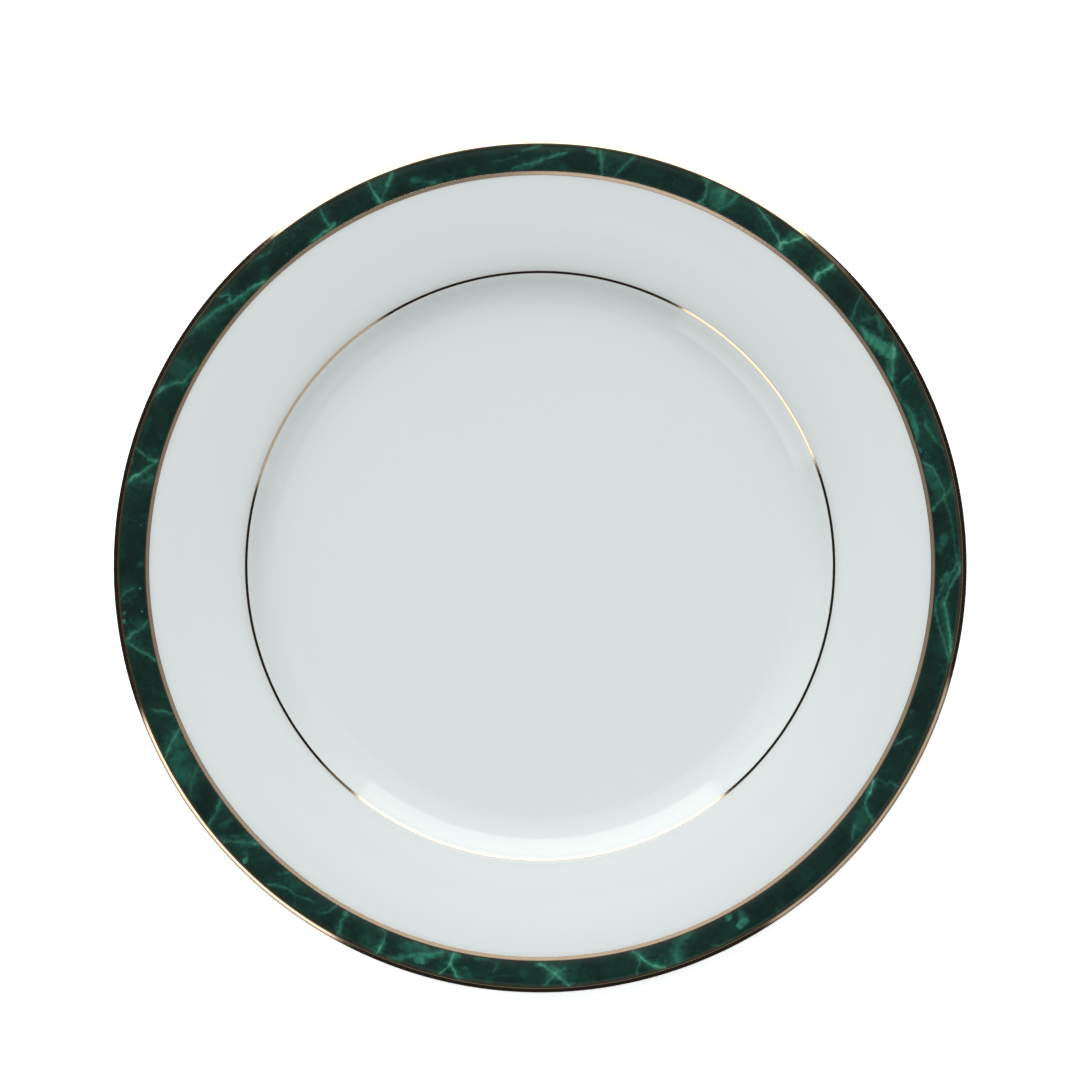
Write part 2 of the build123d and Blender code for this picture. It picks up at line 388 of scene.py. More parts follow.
def marble_material():
    m, n, p, co = material("green marble print")
    at = n.new("ShaderNodeAttribute", attribute_name="marble")
    sep = n.new("ShaderNodeSeparateColor")
    n.t.links.new(at.outputs["Color"], sep.inputs[0])
    vein, cloud, keyline = sep.outputs[0], sep.outputs[1], sep.outputs[2]
    fine = n.noise(co, 420.0, 4.0, 0.6, 0.4)
    broad = n.noise(co, 75.0, 4.0, 0.6, 0.3)
    dark = n.mix(n.ease(broad, 0.35, 0.70), rgba(0.0036, 0.0158, 0.0135), rgba(0.0041, 0.0200, 0.0162))
    cloudy = n.math("MULTIPLY", cloud, n.line(fine, 0.25, 0.75, 0.72, 1.28))
    green = n.mix(n.math("MULTIPLY", cloudy, 1.0, clamp=True), dark, rgba(0.016, 0.122, 0.082))
    veined = n.math("MULTIPLY", vein, n.line(fine, 0.25, 0.75, 0.74, 1.28))
    pale = n.mix(n.math("MULTIPLY", veined, 1.0, clamp=True), green, rgba(0.054, 0.275, 0.182))
    pale = n.mix(n.ease(veined, 0.52, 1.0, 0.0, 0.70), pale, rgba(0.120, 0.340, 0.235))
    inside = n.mix(n.math("MAXIMUM", keyline, 0.0), pale, rgba(0.030, 0.020, 0.010))
    edge = n.mix(n.math("MAXIMUM", n.math("MULTIPLY", keyline, -1.0), 0.0), inside, rgba(0.055, 0.040, 0.020))
    n.set(p.inputs["Base Color"], edge)
    n.set(p.inputs["Roughness"], n.line(fine, 0.3, 0.7, 0.06, 0.11))
    n.set(p.inputs["IOR"], 1.50)
    n.set(p.inputs["Normal"], n.bump(n.noise(co, 180.0, 2.0, 0.5), 0.04, 0.0002))
    return m


# ================================================================ marble drawing
# The print is laid out by bearing (degrees clockwise from +Y, seen from above)
# and by v, from 0 close to the inner edge of the band to 1 at its outer edge.
MM_PER_DEG = math.radians(1.0) * 129.35
BAND_W = 8.4
INNER_R, OUTER_R = 125.18, 133.52

# (points, half width in mm, strength at start, strength at end)
VEINS = [
    ([(-1.0, 0.24), (1.5, 0.50), (3.6, 0.69)], 0.50, 0.40, 0.60),
    ([(-4.0, 0.10), (-2.0, 0.24), (0.0, 0.33)], 0.55, 0.45, 0.45),
    ([(-2.5, 0.75), (0.2, 0.98)], 0.5, 0.35, 0.45),
    ([(-6.5, 0.40), (-3.2, 0.55)], 0.35, 0.18, 0.28),
    ([(8.2, 1.02), (8.4, 0.65), (8.8, 0.30), (9.1, -0.02)], 0.75, 0.70, 0.55),
    ([(13.1, 0.98), (12.2, 0.65), (11.4, 0.30), (10.7, 0.03)], 0.55, 0.55, 0.42),
    ([(23.3, 1.02), (23.7, 0.70), (23.9, 0.35), (23.7, 0.02)], 0.55, 0.85, 0.70),
    ([(26.2, 0.98), (26.3, 0.60), (25.9, 0.15)], 0.90, 0.40, 0.30),
    ([(28.1, 1.0), (27.8, 0.70), (27.3, 0.35), (26.6, 0.08)], 0.60, 0.48, 0.35),
    ([(30.4, 1.0), (32.4, 0.76), (33.8, 0.60), (35.5, 0.40), (36.8, 0.24)], 0.50, 0.60, 0.85),
    ([(38.8, 1.02), (38.1, 0.72), (37.5, 0.46), (36.9, 0.22), (37.0, -0.02)], 0.70, 0.75, 0.86),
    ([(44.3, 1.02), (44.0, 0.70), (43.6, 0.32), (43.9, -0.02)], 0.80, 0.95, 1.00),
    ([(49.9, 0.95), (50.5, 0.55), (51.1, 0.22), (51.6, 0.0)], 0.45, 0.32, 0.60),
    ([(53.9, 1.0), (53.1, 0.62), (52.6, 0.30)], 0.80, 0.32, 0.20),
    ([(57.1, 1.0), (57.7, 0.80)], 0.50, 0.35, 0.45),
    ([(58.0, 0.78), (59.3, 0.62), (60.3, 0.38), (61.4, 0.20), (62.4, 0.08)], 0.75, 0.52, 0.50),
    ([(62.5, 1.0), (62.9, 0.62), (63.1, 0.28)], 0.35, 0.45, 0.55),
    ([(61.8, 0.10), (63.6, 0.03), (65.4, 0.02)], 0.45, 0.50, 0.40),
    ([(66.0, 0.10), (68.4, 0.25), (70.2, 0.19), (71.7, 0.06)], 0.85, 0.30, 0.52),
    ([(74.0, 0.95), (72.2, 0.70), (69.6, 0.50)], 0.55, 0.34, 0.28),
    ([(75.0, 0.06), (75.7, 0.28), (77.4, 0.44), (79.6, 0.56), (80.4, 0.50)], 0.45, 0.45, 0.65),
    ([(78.4, 0.98), (79.6, 0.76), (80.3, 0.50), (81.0, 0.25), (81.9, 0.0)], 0.60, 0.38, 0.62),
    ([(80.5, 0.52), (83.0, 0.65), (86.0, 0.71), (88.4, 0.78), (91.0, 0.92)], 0.50, 0.25, 0.30),
    ([(89.5, 0.98), (91.4, 0.80), (93.0, 0.56), (94.4, 0.41), (95.6, 0.42), (97.2, 0.56), (98.6, 0.66), (100.6, 0.82), (102.9, 1.02)], 0.55, 0.55, 0.80),
    ([(89.4, 0.86), (91.0, 0.60), (92.2, 0.38), (93.6, 0.16), (96.0, 0.05), (98.0, 0.20), (100.2, 0.50), (101.8, 0.76), (103.2, 0.99)], 0.42, 0.45, 0.44),
    ([(114.7, 0.42), (115.6, 0.26), (116.7, 0.07)], 0.40, 0.50, 0.40),
    ([(121.5, 0.97), (121.6, 0.62), (122.2, 0.42), (122.3, 0.08)], 0.40, 0.40, 0.28),
    ([(122.9, 0.0), (124.0, 0.14), (125.9, 0.24), (126.6, 0.40), (127.0, 0.62), (127.8, 0.95)], 0.60, 0.95, 0.45),
    ([(129.6, 0.46), (131.4, 0.74)], 0.60, 0.45, 0.35),
    ([(154.3, 0.97), (155.6, 0.74)], 0.50, 0.22, 0.25),
    ([(160.8, 0.85), (160.4, 0.52), (159.4, 0.20), (158.0, 0.03)], 1.60, 0.32, 0.28),
    ([(162.6, 1.02), (163.8, 0.80), (164.8, 0.56), (165.6, 0.36), (166.5, 0.0)], 0.70, 0.85, 1.00),
    ([(166.9, 0.98), (166.3, 0.66), (165.7, 0.40)], 0.42, 0.35, 0.60),
    ([(175.8, 1.02), (176.9, 0.72), (178.0, 0.43), (179.0, 0.26), (180.2, 0.06)], 0.80, 0.85, 0.68),
    ([(179.7, 0.94), (178.4, 0.60), (177.8, 0.42)], 0.42, 0.38, 0.60),
    ([(178.0, 0.40), (177.1, 0.30), (176.4, 0.24)], 0.60, 0.65, 0.40),
    ([(186.6, 0.48), (186.2, 0.14)], 0.55, 0.24, 0.22),
    ([(190.9, 1.02), (191.7, 0.76), (192.6, 0.45), (192.5, 0.0)], 0.62, 0.80, 0.92),
    ([(194.0, 1.0), (193.4, 0.72), (192.7, 0.44)], 0.55, 0.80, 0.80),
    ([(194.2, 0.08), (195.6, 0.26), (197.6, 0.46), (199.6, 0.74), (201.2, 1.0)], 0.95, 0.58, 0.30),
    ([(203.0, 1.02), (202.8, 0.62), (202.7, 0.24), (203.1, -0.02)], 0.62, 0.72, 0.75),
    ([(208.7, 1.0), (209.2, 0.52), (209.3, 0.0)], 0.70, 0.50, 0.70),
    ([(212.6, 0.62), (211.6, 0.40), (211.0, 0.02)], 0.48, 0.32, 0.50),
    ([(213.8, 0.34), (216.4, 0.50), (218.6, 0.56), (220.5, 0.86)], 0.42, 0.28, 0.45),
    ([(219.4, 0.06), (220.4, 0.36)], 0.55, 0.35, 0.25),
    ([(229.2, 0.92), (227.9, 0.56), (226.4, 0.22), (225.2, -0.02)], 0.85, 0.42, 0.55),
    ([(229.0, 0.55), (227.3, 0.06)], 0.55, 0.25, 0.30),
    ([(231.7, 1.02), (232.4, 0.70), (232.8, 0.40), (233.8, -0.02)], 0.55, 0.65, 0.48),
    ([(230.9, 0.60), (230.7, 0.10)], 0.50, 0.24, 0.22),
    ([(236.6, 0.90), (238.0, 0.52), (239.6, 0.06)], 0.80, 0.22, 0.28),
    ([(242.6, 1.0), (244.0, 0.62), (245.7, 0.02)], 0.70, 0.58, 0.62),
    ([(249.7, 0.64), (248.8, 0.30), (248.0, 0.03)], 0.48, 0.32, 0.55),
    ([(259.4, 0.92), (258.6, 0.62), (257.7, 0.38), (256.3, 0.0)], 0.48, 0.45, 0.62),
    ([(259.6, 1.02), (260.6, 0.62), (261.0, 0.32), (262.1, 0.0)], 0.48, 0.50, 0.50),
    ([(265.4, 1.0), (266.4, 0.76), (266.9, 0.40)], 0.36, 0.35, 0.42),
    ([(281.2, 1.02), (282.2, 0.76), (283.5, 0.42), (284.8, 0.15), (285.4, -0.02)], 0.50, 0.82, 0.58),
    ([(286.3, 1.0), (285.8, 0.62), (285.2, 0.26), (285.1, 0.0)], 0.48, 0.42, 0.75),
    ([(282.0, 0.45), (282.9, 0.02)], 0.60, 0.20, 0.40),
    ([(293.6, 1.02), (295.4, 0.76), (296.7, 0.44), (297.2, 0.22), (298.4, 0.15), (299.9, 0.06)], 0.58, 0.55, 0.62),
    ([(303.0, 0.95), (306.0, 0.75), (308.5, 0.60), (310.4, 0.40), (312.6, 0.25), (314.6, 0.15), (316.4, -0.02)], 0.66, 0.28, 0.92),
    ([(309.7, 1.02), (310.3, 0.80), (311.1, 0.62), (310.6, 0.48)], 0.42, 0.42, 0.65),
    ([(316.1, 0.98), (317.8, 0.77), (319.3, 0.72), (321.0, 0.98)], 0.50, 0.32, 0.36),
    ([(328.4, 0.98), (328.0, 0.52), (328.1, 0.08)], 0.45, 0.35, 0.70),
    ([(324.8, 0.02), (326.8, 0.05), (328.9, 0.11)], 0.55, 0.55, 0.80),
    ([(335.8, 1.02), (336.0, 0.52), (336.4, -0.02)], 0.65, 0.72, 0.78),
    ([(339.6, 1.0), (338.8, 0.75), (338.1, 0.54)], 0.65, 0.65, 0.72),
    ([(337.6, 0.42), (337.0, 0.28)], 0.45, 0.35, 0.30),
    ([(341.6, 0.46), (342.8, 0.28), (344.6, 0.06)], 0.85, 0.28, 0.36),
]

# (bearing, v, half length in mm, half height in mm, tilt in degrees, strength, how much of it is pale)
CLOUDS = [
    (7.1, 0.88, 1.9, 0.9, -20, 0.75, 0.15), (24.0, 0.04, 1.3, 0.6, 0, 0.8, 0.30), (23.2, 0.95, 2.0, 0.7, 0, 0.6, 0.15),
    (25.8, 0.52, 3.2, 4.0, 0, 0.62, 0.10), (27.6, 0.88, 1.6, 1.0, 0, 0.4, 0.0), (36.9, 0.10, 1.5, 1.2, 0, 0.7, 0.25),
    (37.6, 0.80, 2.4, 1.6, 40, 0.45, 0.05), (43.9, 0.10, 1.5, 1.3, 0, 0.6, 0.15), (40.0, 0.06, 1.5, 0.6, 0, 0.35, 0.0),
    (51.4, 0.05, 1.0, 0.5, 0, 0.6, 0.2), (54.6, 0.84, 3.4, 1.1, -32, 0.65, 0.05), (56.4, 0.28, 6.2, 2.0, 14, 0.95, 0.34),
    (58.2, 0.50, 3.0, 2.3, 0, 0.95, 0.50), (60.6, 0.20, 3.4, 1.2, -25, 0.75, 0.10), (54.6, 0.16, 5.0, 1.1, 8, 0.75, 0.20),
    (68.6, 0.14, 6.0, 1.0, 0, 0.62, 0.05), (70.0, 0.16, 3.4, 0.8, -6, 0.60, 0.30), (73.0, 0.04, 1.3, 0.5, 0, 0.6, 0.15), (77.8, 0.24, 5.6, 2.0, 12, 0.60, 0.0),
    (79.4, 0.92, 2.6, 0.8, 0, 0.3, 0.0), (86.2, 0.34, 2.4, 1.4, -20, 0.55, 0.0), (87.4, 0.18, 2.4, 1.2, 0, 0.35, 0.0),
    (91.6, 0.32, 2.4, 0.9, -35, 0.60, 0.15), (96.1, 0.10, 1.3, 0.5, 0, 0.55, 0.15), (96.4, 0.42, 4.0, 0.8, 15, 0.30, 0.0),
    (100.4, 0.78, 4.6, 0.8, 28, 0.45, 0.0), (110.5, 0.90, 0.8, 1.0, 0, 0.30, 0.0), (111.6, 0.10, 1.4, 0.8, 0, 0.28, 0.0),
    (124.4, 0.10, 2.6, 0.8, 15, 0.65, 0.1), (128.6, 0.50, 4.4, 2.6, 20, 0.38, 0.0), (142.4, 0.97, 2.2, 0.5, 0, 0.55, 0.05),
    (145.3, 0.88, 0.8, 1.2, 0, 0.25, 0.0), (150.4, 0.54, 2.4, 1.5, 10, 0.85, 0.48), (149.9, 0.24, 1.3, 1.8, 0, 0.55, 0.0),
    (151.8, 0.10, 1.4, 1.0, 10, 0.75, 0.25), (160.4, 0.55, 2.4, 3.6, -10, 0.45, 0.0), (158.6, 0.06, 3.6, 0.8, 0, 0.35, 0.0),
    (163.4, 0.86, 2.0, 0.9, -40, 0.50, 0.1), (166.0, 0.18, 1.3, 1.6, 0, 0.55, 0.1), (177.6, 0.36, 3.0, 1.4, -30, 0.75, 0.15),
    (176.4, 0.88, 1.5, 0.9, -50, 0.45, 0.0), (182.2, 0.42, 2.2, 1.8, 0, 0.26, 0.0), (187.0, 0.86, 1.8, 0.8, 0, 0.25, 0.0),
    (190.0, 0.72, 1.2, 0.9, 0, 0.50, 0.0), (190.6, 0.50, 1.2, 0.7, 0, 0.50, 0.05), (188.6, 0.07, 2.8, 0.7, 0, 0.55, 0.05),
    (192.4, 0.10, 2.0, 1.0, 0, 0.65, 0.15), (196.8, 0.62, 1.8, 1.4, 0, 0.85, 0.62), (195.7, 0.32, 3.8, 1.0, 12, 0.75, 0.10),
    (197.4, 0.14, 5.0, 1.1, 0, 0.55, 0.05), (199.8, 0.80, 4.6, 1.2, 35, 0.50, 0.0), (199.4, 0.30, 2.6, 1.6, 0, 0.45, 0.0),
    (205.0, 0.62, 2.4, 2.2, 0, 0.22, 0.0), (209.2, 0.10, 1.2, 1.2, 0, 0.5, 0.1), (217.2, 0.22, 3.4, 1.5, 0, 0.30, 0.0),
    (225.0, 0.80, 0.8, 1.1, 0, 0.85, 0.35), (225.7, 0.60, 1.2, 0.9, 0, 0.4, 0.0), (226.4, 0.20, 3.0, 1.6, 50, 0.40, 0.0),
    (230.6, 0.40, 1.2, 2.6, 0, 0.28, 0.0), (241.4, 0.50, 8.0, 3.9, -18, 0.52, 0.0), (240.6, 0.88, 4.0, 0.9, 0, 0.40, 0.0),
    (243.4, 0.30, 4.0, 2.0, -30, 0.35, 0.0), (246.0, 0.96, 1.4, 0.4, 0, 0.3, 0.0), (261.7, 0.24, 1.9, 2.2, -30, 0.40, 0.0),
    (262.4, 0.92, 0.8, 0.6, 0, 0.80, 0.25), (263.5, 0.88, 0.7, 0.6, 0, 0.80, 0.25), (270.2, 0.10, 1.2, 1.2, 0, 0.35, 0.0),
    (281.8, 0.90, 2.2, 1.0, -50, 0.5, 0.05), (282.6, 0.14, 2.0, 1.4, 0, 0.40, 0.0), (285.2, 0.06, 1.3, 0.7, 0, 0.65, 0.2),
    (284.5, 0.96, 1.0, 0.5, 0, 0.70, 0.2), (289.6, 0.82, 3.4, 1.2, 0, 0.22, 0.0), (295.2, 0.84, 3.4, 1.0, -35, 0.45, 0.0),
    (298.8, 0.60, 3.2, 3.0, 30, 0.38, 0.0), (297.2, 0.10, 2.8, 0.9, 0, 0.40, 0.0), (309.0, 0.52, 5.0, 1.2, -22, 0.35, 0.0),
    (305.0, 0.90, 4.0, 0.9, -12, 0.32, 0.0), (313.8, 0.14, 4.0, 0.8, -12, 0.55, 0.1), (317.0, 0.28, 2.0, 1.5, 0, 0.24, 0.0),
    (322.0, 0.90, 2.6, 0.6, 0, 0.25, 0.0), (326.8, 0.05, 4.6, 0.6, 4, 0.80, 0.15), (328.6, 0.12, 1.4, 0.8, 0, 0.6, 0.2),
    (336.2, 0.08, 1.4, 0.8, 0, 0.5, 0.1), (338.4, 0.60, 1.2, 1.0, 0, 0.4, 0.1), (342.4, 0.36, 2.6, 1.2, 0, 0.34, 0.0),
    (344.2, 0.10, 3.6, 1.0, 0, 0.40, 0.0), (346.4, 0.90, 2.6, 0.7, 10, 0.28, 0.0), (350.0, 0.22, 2.6, 1.4, 0, 0.20, 0.0),
    (358.0, 0.12, 4.0, 0.9, 14, 0.42, 0.0), (359.4, 0.90, 3.0, 0.7, 20, 0.35, 0.0), (3.4, 0.12, 1.6, 1.2, 0, 0.22, 0.0),
]
SPECKS = [(263.5, 0.18, 0.24, 1.0), (266.8, 0.18, 0.27, 1.0), (198.4, 0.55, 0.34, 0.8), (275.8, 0.20, 0.24, 0.35), (320.9, 0.22, 0.20, 0.3), (73.6, 0.24, 0.22, 0.45), (104.0, 0.60, 0.18, 0.3),
          (165.8, 0.36, 0.70, 0.55), (338.6, 0.68, 0.60, 0.55), (191.9, 0.62, 0.50, 0.30), (43.8, 0.30, 0.55, 0.35)]


def lattice(x, y, period, seed):
    """Smooth noise from -1 to 1 that repeats every period cells along x."""
    rng = np.random.RandomState(seed)
    h = 64
    g = rng.uniform(0, 2 * math.pi, (h, period))
    gx, gy = np.cos(g), np.sin(g)
    xi, yi = np.floor(x).astype(int), np.floor(y).astype(int)
    fx, fy = x - xi, y - yi
    u, v = fx * fx * fx * (fx * (fx * 6 - 15) + 10), fy * fy * fy * (fy * (fy * 6 - 15) + 10)

    def corner(dx, dy):
        i, j = (xi + dx) % period, (yi + dy) % h
        return gx[j, i] * (fx - dx) + gy[j, i] * (fy - dy)

    a = corner(0, 0) * (1 - u) + corner(1, 0) * u
    b = corner(0, 1) * (1 - u) + corner(1, 1) * u
    return (a * (1 - v) + b * v) * 1.5


def fractal(x_mm, y_mm, cell_mm, octaves, seed, gain=0.55):
    total, amp, norm = 0.0, 1.0, 0.0
    around = 360 * MM_PER_DEG
    for k in range(octaves):
        cells = max(4, int(round(around / cell_mm * 2 ** k)))
        s = cells / around
        total = total + amp * lattice(x_mm * s, y_mm * s + 7.3 * k, cells, seed + 31 * k)
        norm += amp
        amp *= gain
    return total / norm


def curve_points(points, per=7):
    """A smooth curve through the points."""
    p = np.array(points, float)
    p = np.vstack([2 * p[0] - p[1], p, 2 * p[-1] - p[-2]])
    out = []
    for i in range(1, len(p) - 2):
        for k in range(per):
            t = k / per
            out.append(0.5 * (2 * p[i] + (p[i + 1] - p[i - 1]) * t + (2 * p[i - 1] - 5 * p[i] + 4 * p[i + 1] - p[i + 2]) * t * t + (3 * p[i] - p[i - 1] - 3 * p[i + 1] + p[i + 2]) * t ** 3))
    out.append(p[-2])
    return np.array(out)


def paint_marble(bearing, radius, r0, r1):
    """(vein, cloud, inner keyline, outer keyline) for places on the band from radius r0 to r1, given by bearing in degrees and radius."""
    x, y = bearing * MM_PER_DEG, (radius - INNER_R) / (OUTER_R - INNER_R) * BAND_W
    wx = x + 0.70 * fractal(x, y, 4.4, 3, 11) + 0.34 * fractal(x, y, 1.5, 3, 12)
    wy = y + 0.55 * fractal(x, y, 4.4, 3, 13) + 0.30 * fractal(x, y, 1.5, 3, 14)
    ragged = fractal(x, y, 1.5, 4, 15)
    slow = fractal(x, y, 9.0, 3, 16)
    streak = fractal(x + 0.4 * y, y * 0.6, 2.4, 4, 17)
    vein = np.zeros_like(x)
    halo = np.zeros_like(x)
    around = 360 * MM_PER_DEG
    for index, (points, width, s0, s1) in enumerate(VEINS):
        pts = curve_points([(b * MM_PER_DEG, t * BAND_W) for b, t in points])
        mid = (pts[:, 0].min() + pts[:, 0].max()) / 2
        reach = (pts[:, 0].max() - pts[:, 0].min()) / 2 + 6.0
        off = (wx - mid + around / 2) % around - around / 2
        sel = np.nonzero(np.abs(off) < reach)
        px, py = off[sel] + mid, wy[sel]
        best = np.full(px.shape, 1e9)
        along = np.zeros(px.shape)
        side = np.zeros(px.shape)
        for k in range(len(pts) - 1):
            a, d = pts[k], pts[k + 1] - pts[k]
            t = np.clip(((px - a[0]) * d[0] + (py - a[1]) * d[1]) / (d @ d), 0, 1)
            dist = np.hypot(px - a[0] - t * d[0], py - a[1] - t * d[1])
            near = dist < best
            best = np.where(near, dist, best)
            along = np.where(near, (k + t) / (len(pts) - 1), along)
            side = np.where(near, np.sign((px - a[0]) * d[1] - (py - a[1]) * d[0]), side)
        strength = (s0 + (s1 - s0) * along) ** 1.35 * (1.06 + 0.65 * slow[sel])
        w = width * (0.80 + 0.75 * ragged[sel] + 0.60 * slow[sel])
        w = np.maximum(w, 0.17)
        core = strength * (0.70 * np.exp(-(best / (0.62 * w)) ** 2) + 0.36 * np.exp(-(best / (1.45 * w)) ** 2)) * (0.82 + 0.70 * streak[sel])
        lean = 3.3 + 1.6 * side * (1 if index % 2 else -1)
        soft = 0.50 * strength * np.exp(-(best / (lean * width)) ** 1.4) * (0.85 + 1.3 * ragged[sel])
        vein[sel] = 1 - (1 - vein[sel]) * (1 - np.clip(core, 0, 1))
        halo[sel] = 1 - (1 - halo[sel]) * (1 - np.clip(soft, 0, 1))
    cloud = halo
    for b, t, rx, ry, tilt, strength, pale in CLOUDS:
        off = (wx - b * MM_PER_DEG + around / 2) % around - around / 2
        sel = np.nonzero(np.abs(off) < rx + ry + 3.0)
        a = math.radians(tilt)
        dx, dy = off[sel], wy[sel] - t * BAND_W
        lx, ly = dx * math.cos(a) + dy * math.sin(a), -dx * math.sin(a) + dy * math.cos(a)
        rho = np.hypot(lx / rx, ly / ry) + 0.55 * ragged[sel]
        body = np.clip((1.32 - rho) / 0.85, 0, 1)
        body = body * body * (3 - 2 * body) * (0.88 + 0.95 * streak[sel])
        cloud[sel] = 1 - (1 - cloud[sel]) * (1 - np.clip(strength * body, 0, 1))
        vein[sel] = 1 - (1 - vein[sel]) * (1 - np.clip(pale * body * (1.0 + 0.8 * streak[sel]), 0, 1))
    for b, t, r, strength in SPECKS:
        off = (x - b * MM_PER_DEG + around / 2) % around - around / 2
        d = np.hypot(off, y - t * BAND_W)
        vein = np.maximum(vein, strength * np.exp(-(d / r) ** 2))
    veil = np.clip(0.16 + 0.42 * slow + 0.22 * ragged, 0, 1)
    cloud = 1 - (1 - np.clip(cloud, 0, 1)) * (1 - 0.34 * veil)
    ridge = 1 - np.abs(fractal(wx, wy * 1.15, 6.5, 3, 18)) * 5.5
    hair = np.clip(ridge, 0, 1) ** 3 * np.clip(fractal(x, y, 12.0, 2, 19) * 2.4 - 0.10, 0, 1)
    cloud = 1 - (1 - cloud) * (1 - 0.30 * hair)
    inner_key = 0.9 * np.exp(-((radius - r0) / 0.26) ** 2)
    outer_key = 0.9 * np.exp(-((r1 - radius) / 0.56) ** 2)
    return np.clip(vein, 0, 1), np.clip(cloud, 0, 1), inner_key, outer_key


# ====================================================================== pieces
bisque, glaze, gold, marble = bisque_material(), glaze_material(), gold_material(), marble_material()
made = []


def add(ob, node, mat):
    ob.data.materials.append(mat)
    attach(ob, "root")
    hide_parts(node)
    made.append(ob)
    return ob


rng = np.random.RandomState(5)
wob = [(k, rng.uniform(0, 2 * math.pi), rng.uniform(0.4, 1.0) / k ** 0.5) for k in (2, 3, 5, 8, 13, 21, 34)]


def wavy(ang):
    return sum(a * np.sin(k * ang + ph) for k, ph, a in wob) / 2.2


# the fired body, whole: only its wiped foot shows
add(lathe("porcelain_body_piece", shifted(walk(START, END, 0.8, 4.0), -GLAZE_T)[::-1], 512), "porcelain_body", bisque)


# the glaze over face, rim and back: it ends above the foot in a soft, slightly uneven edge
def add_edge_points(a, b, flip):
    """The walk again, with extra points close to the glaze's free edge."""
    pts = walk(a, b, 0.6, 3.0)
    total = pts[-1][4]
    s = SEGS[a[0]] if flip else SEGS[b[0]]
    extra = []
    for e in (0.0, 0.01, 0.03, 0.06, 0.10, 0.15, 0.21, 0.28, 0.36):
        d = e if flip else total - e
        t = (a[1] + e / s.length()) if flip else (b[1] - e / s.length())
        r, z = s.at(t)
        h = math.radians(s.heading(t))
        extra.append((r, z, -math.sin(h), math.cos(h), d))
    keep = [p for p in pts if (p[4] if flip else total - p[4]) > 0.40]
    return (extra + keep) if flip else (keep + extra[::-1]), total


def glaze_piece(name, a, b, flip, n, node):
    pts, total = add_edge_points(a, b, flip)
    roll = 0.34
    face = []
    for r, z, nr, nz, d in pts:
        m = d if flip else total - d
        drop = 0.0 if m >= roll else GLAZE_T * 0.97 * (1 - math.sqrt(max(0.0, 1 - (1 - m / roll) ** 2)))
        face.append((r - drop * nr, z - drop * nz))
    back = [(p[0] - GLAZE_T * p[2], p[1] - GLAZE_T * p[3]) for p in pts]
    prof = face + back[::-1] if not flip else back[::-1] + face
    prof = [(0.0 if r < 1e-6 else r, z) for r, z in prof]

    def uneven(ang, rr, zz):
        low = 2.2
        f = np.clip((low - zz) / (low - 0.95), 0, 1)
        return rr, zz + f * 0.11 * wavy(ang)

    return add(lathe(name, prof[::-1], n, warp=uneven), node, glaze)


glaze_piece("glaze_coat_piece", START, GLAZE_OUT, False, 512, "glaze_coat")
glaze_piece("base_glaze_piece", GLAZE_IN, END, True, 384, "base_glaze")

# the gilding
add(film("rim_gold_piece", PRINT_OUT, GOLD_UNDER, 0.05, 1440, 0.20, 0.10, 3.0), "rim_gold", gold)
add(film("border_gold_line_piece", BORDER_IN, BORDER_OUT, 0.03, 720, 0.05, 0.15, 2.0), "border_gold_line", gold)
add(film("verge_gold_line_piece", VERGE_IN, VERGE_OUT, 0.03, 720, 0.10, 0.10, 2.0), "verge_gold_line", gold)

# the marble band
N_AROUND = 2880
# it runs a little way under the gilding on both sides
band = film("marble_band_piece", find(0, LIP, 0, 124.82), find(0, LIP, 0, 133.60), 0.018, N_AROUND, 0.08, 0.18, 2.0)
co = np.empty(len(band.data.vertices) * 3)
band.data.vertices.foreach_get("co", co)
co = co.reshape(-1, 3) * 1000.0
radius = np.hypot(co[:, 0], co[:, 1])
bearing = np.degrees(np.arctan2(co[:, 0], co[:, 1])) % 360.0
r0, r1 = SEGS[BORDER_OUT[0]].at(BORDER_OUT[1])[0], SEGS[PRINT_OUT[0]].at(PRINT_OUT[1])[0]
vein, cloud, inner_key, outer_key = paint_marble(bearing, radius, r0, r1)
layer = band.data.color_attributes.new("marble", "FLOAT_COLOR", "POINT")
layer.data.foreach_set("color", np.stack([vein, cloud, inner_key - outer_key, np.ones_like(vein)], 1).astype(np.float32).ravel())
add(band, "marble_band", marble)

# ======================================================================= studio
scene = bpy.context.scene
scene.view_settings.view_transform = "Standard"
scene.view_settings.look = "None"
scene.view_settings.exposure = 0.0
scene.view_settings.gamma = 1.0

AMBIENT = 0.58          # diffuse sky, from every side
KEY = 2.05              # extra diffuse light from the key side
KEY_BEARING, KEY_ELEV = 345.0, 30.0

world = bpy.data.worlds.new("studio")
scene.world = world
world.use_nodes = True
n = Nodes(world.node_tree)
out = n.new("ShaderNodeOutputWorld")
direction = n.new("ShaderNodeTexCoord").outputs["Generated"]
norm = n.new("ShaderNodeVectorMath", operation="NORMALIZE")
n.t.links.new(direction, norm.inputs[0])
sep = n.new("ShaderNodeSeparateXYZ")
n.t.links.new(norm.outputs[0], sep.inputs[0])
dx, dy, dz = sep.outputs
elev = n.math("MULTIPLY", n.math("ARCSINE", dz), 180 / math.pi)
bear = n.math("MULTIPLY", n.math("ARCTAN2", dx, dy), 180 / math.pi)          # -180 to 180, 0 at +Y, 90 at +X


def window(x, lo, hi, soft):
    return n.math("MULTIPLY", n.ease(x, lo - soft, lo + soft), n.ease(x, hi + soft, hi - soft))


def turned(b0):
    """Bearing measured from b0, from -180 to 180."""
    return n.math("SUBTRACT", n.math("MODULO", n.math("ADD", n.math("SUBTRACT", bear, b0), 900.0), 360.0), 180.0)


